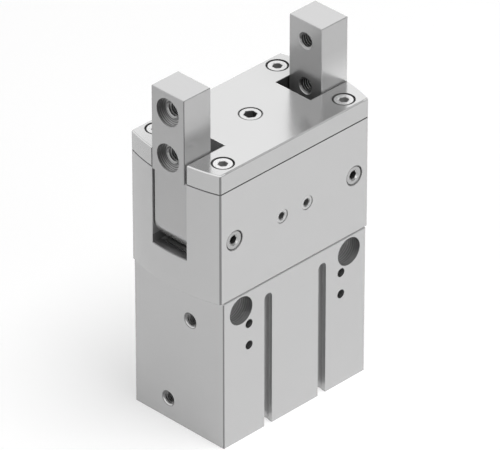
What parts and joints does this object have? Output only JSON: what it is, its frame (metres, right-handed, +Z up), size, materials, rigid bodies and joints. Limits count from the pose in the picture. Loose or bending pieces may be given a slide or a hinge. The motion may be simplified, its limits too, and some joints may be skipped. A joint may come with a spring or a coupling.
{
  "type": "radial gripper",
  "caption": "Pneumatic radial gripper: a cylinder block with a jaw housing on top, whose rack and gear segments swing the bar jaws outwards.",
  "frame": {"origin": "centre of the base face of the cylinder block", "axes": "+X along the long front face from the left to the right jaw, -Y out of the front face, +Z up along the closed jaws"},
  "size_m": [0.0782, 0.043, 0.1349],
  "materials": {
    "block_aluminium": "fine blasted, clear anodised",
    "housing_aluminium": "fine blasted, clear anodised",
    "cover_aluminium": "fine blasted, clear anodised",
    "cap_aluminium": "turned, clear anodised",
    "seal_rubber": "matt black",
    "bumper_rubber": "matt dark grey",
    "spring_steel": "dark phosphated spring steel",
    "bearing_bronze": "sintered bronze",
    "magnet_plastic": "plastic-bonded magnet",
    "guide_plastic": "natural low-friction plastic",
    "screw_steel": "stainless, satin",
    "plug_steel": "stainless, satin",
    "pin_steel": "hardened and ground",
    "gear_steel": "hardened, cut teeth",
    "jaw_steel": "satin nickel-plated"
  },
  "bodies": {
    "housing": {"cylinder_body": "block_aluminium", "jaw_housing": "housing_aluminium", "cover_plate": "cover_aluminium", "end_cap": "cap_aluminium", "end_cap_seal": "seal_rubber", "retaining_ring": "spring_steel", "rod_bush": "bearing_bronze", "rod_seal": "seal_rubber", "lower_bumper": "bumper_rubber", "upper_bumper": "bumper_rubber", "cover_screws": "screw_steel", "cover_plug": "plug_steel", "housing_screws": "screw_steel", "pivot_plugs": "plug_steel", "guide_screws": "plug_steel", "cover_dowels": "pin_steel", "housing_dowels": "pin_steel", "left_pivot_pin": "pin_steel", "right_pivot_pin": "pin_steel"},
    "drive": {"piston": "cap_aluminium", "piston_magnet": "magnet_plastic", "piston_seals": "seal_rubber", "piston_guide_ring": "guide_plastic", "piston_rod": "pin_steel", "piston_nut": "screw_steel", "rack_crosshead": "gear_steel", "rack_screw": "screw_steel"},
    "left_swing": {"left_jaw": "jaw_steel", "left_jaw_bush": "bearing_bronze"},
    "right_swing": {"right_jaw": "jaw_steel", "right_jaw_bush": "bearing_bronze"}
  },
  "joints": [
    {"name": "piston_slide", "type": "slide", "parent": "housing", "child": "drive", "axis": [0, 0, 1], "range_m": [-0.00052, 0.01571]},
    {"name": "left_jaw_swing", "type": "hinge", "parent": "housing", "child": "left_swing", "pos_m": [-0.02885, 0, 0.0818], "axis": [0, -1, 0], "range_deg": [-3.01, 90.01]},
    {"name": "right_jaw_swing", "type": "hinge", "parent": "housing", "child": "right_swing", "pos_m": [0.02885, 0, 0.0818], "axis": [0, 1, 0], "range_deg": [-3.01, 90.01]}
  ],
  "couplings": [
    {"joint": "left_jaw_swing", "follows": "piston_slide", "rad_per_m": 100},
    {"joint": "right_jaw_swing", "follows": "piston_slide", "rad_per_m": 100}
  ]
}
